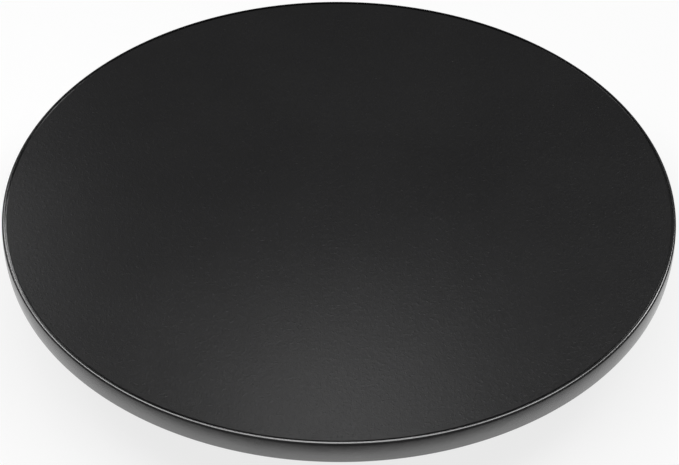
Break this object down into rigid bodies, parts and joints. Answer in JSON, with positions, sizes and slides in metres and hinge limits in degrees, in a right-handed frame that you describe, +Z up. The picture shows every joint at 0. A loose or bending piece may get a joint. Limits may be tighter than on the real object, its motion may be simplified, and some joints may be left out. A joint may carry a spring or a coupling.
{
  "type": "motorized turntable",
  "caption": "Round black motorized display turntable: satin mat in a glossy rounded rim, carried on rollers and turned by an internal ring gear in a low base.",
  "frame": {"origin": "centre of the footprint, on the surface that the feet stand on, on the platter's spin axis", "axes": "+Z up along the spin axis, +Y towards the control panel, -X towards the drive"},
  "size_m": [0.35, 0.35, 0.0456],
  "materials": {
    "mat": "satin, fine grained, black",
    "platter_shell": "gloss black",
    "gear_plastic": "natural white moulded gear plastic",
    "steel": "ground steel",
    "screw_steel": "black zinc",
    "bush_bronze": "sintered bronze",
    "slide_plastic": "smooth white slide plastic",
    "base_plastic": "fine textured black",
    "roller_plastic": "grey moulded plastic",
    "foot_rubber": "matt grey-black rubber",
    "motor_metal": "zinc plated sheet",
    "brass": "turned brass",
    "nickel": "nickel plated",
    "control_plastic": "satin black",
    "button_plastic": "grey",
    "led": "tinted clear green",
    "board": "green lacquer",
    "chip_plastic": "matt black",
    "heat_sink": "anodised",
    "capacitor_can": "bright can",
    "socket_plastic": "cream",
    "lead_cover": "smooth lead cover"
  },
  "bodies": {
    "base": {"base_tray": "base_plastic", "rubber_feet": "foot_rubber", "top_deck": "base_plastic", "deck_screws": "screw_steel", "pivot_bush": "bush_bronze", "thrust_washer": "slide_plastic", "roller_pins": "steel", "idler_pin": "steel", "idler_washer": "steel", "idler_clip": "steel", "motor_can": "motor_metal", "motor_gear_case": "motor_metal", "motor_screws": "screw_steel", "motor_wire_cover": "base_plastic", "control_panel": "base_plastic", "panel_screws": "screw_steel", "dc_jack": "control_plastic", "jack_pin": "brass", "jack_nut": "nickel", "switch_housing": "control_plastic", "led_indicator": "led", "button_housing": "control_plastic", "speed_potentiometer": "nickel", "pot_nut": "nickel", "control_board": "board", "board_screws": "screw_steel", "microcontroller": "chip_plastic", "motor_driver": "heat_sink", "capacitors": "capacitor_can", "board_sockets": "socket_plastic", "lead_plugs": "socket_plastic", "motor_leads": "lead_cover", "power_leads": "lead_cover", "control_leads": "lead_cover"},
    "platter": {"platter": "platter_shell", "top_mat": "mat", "ring_gear": "gear_plastic", "ring_gear_screws": "screw_steel", "track_ring": "steel", "spindle": "steel", "spindle_screws": "screw_steel", "spindle_washer": "steel", "spindle_clip": "steel"},
    "reduction": {"reduction_gear": "gear_plastic"},
    "motor_rotor": {"motor_shaft": "steel", "motor_pinion": "brass"},
    "roller_1": {"roller_1": "roller_plastic"},
    "roller_2": {"roller_2": "roller_plastic"},
    "roller_3": {"roller_3": "roller_plastic"},
    "roller_4": {"roller_4": "roller_plastic"},
    "roller_5": {"roller_5": "roller_plastic"},
    "roller_6": {"roller_6": "roller_plastic"},
    "speed_knob": {"pot_shaft": "steel", "speed_knob": "control_plastic"},
    "power_rocker": {"power_rocker": "control_plastic"},
    "direction_button": {"direction_button": "button_plastic"}
  },
  "joints": [
    {"name": "platter_spin", "type": "hinge", "parent": "base", "child": "platter", "pos_m": [0, 0, 0.03], "axis": [0, 0, 1], "continuous": true},
    {"name": "reduction_spin", "type": "hinge", "parent": "base", "child": "reduction", "pos_m": [-0.0525, 0, 0.024], "axis": [0, 0, 1], "continuous": true},
    {"name": "motor_spin", "type": "hinge", "parent": "base", "child": "motor_rotor", "pos_m": [-0.0825, 0, 0.024], "axis": [0, 0, 1], "continuous": true},
    {"name": "roller_1_spin", "type": "hinge", "parent": "base", "child": "roller_1", "pos_m": [0.0944, 0.0545, 0.026], "axis": [0.866, 0.5, 0], "continuous": true},
    {"name": "roller_2_spin", "type": "hinge", "parent": "base", "child": "roller_2", "pos_m": [0, 0.109, 0.026], "axis": [0, 1, 0], "continuous": true},
    {"name": "roller_3_spin", "type": "hinge", "parent": "base", "child": "roller_3", "pos_m": [-0.0944, 0.0545, 0.026], "axis": [-0.866, 0.5, 0], "continuous": true},
    {"name": "roller_4_spin", "type": "hinge", "parent": "base", "child": "roller_4", "pos_m": [-0.0944, -0.0545, 0.026], "axis": [-0.866, -0.5, 0], "continuous": true},
    {"name": "roller_5_spin", "type": "hinge", "parent": "base", "child": "roller_5", "pos_m": [0, -0.109, 0.026], "axis": [0, -1, 0], "continuous": true},
    {"name": "roller_6_spin", "type": "hinge", "parent": "base", "child": "roller_6", "pos_m": [0.0944, -0.0545, 0.026], "axis": [0.866, -0.5, 0], "continuous": true},
    {"name": "knob_turn", "type": "hinge", "parent": "base", "child": "speed_knob", "pos_m": [0.027, 0.1235, 0.0155], "axis": [0, 1, 0], "range_deg": [-150, 150]},
    {"name": "rocker_tilt", "type": "hinge", "parent": "base", "child": "power_rocker", "pos_m": [-0.0125, 0.1242, 0.0155], "axis": [0, 0, 1], "range_deg": [0, 16]},
    {"name": "button_press", "type": "slide", "parent": "base", "child": "direction_button", "axis": [0, -1, 0], "range_m": [0, 0.0012], "stiffness_N_per_m": 600, "springref_m": -0.0012}
  ],
  "couplings": [
    {"joint": "reduction_spin", "follows": "platter_spin", "ratio": 4.5},
    {"joint": "motor_spin", "follows": "platter_spin", "ratio": -13.5},
    {"joint": "roller_1_spin", "follows": "platter_spin", "ratio": -15.571},
    {"joint": "roller_2_spin", "follows": "platter_spin", "ratio": -15.571},
    {"joint": "roller_3_spin", "follows": "platter_spin", "ratio": -15.571},
    {"joint": "roller_4_spin", "follows": "platter_spin", "ratio": -15.571},
    {"joint": "roller_5_spin", "follows": "platter_spin", "ratio": -15.571},
    {"joint": "roller_6_spin", "follows": "platter_spin", "ratio": -15.571}
  ]
}
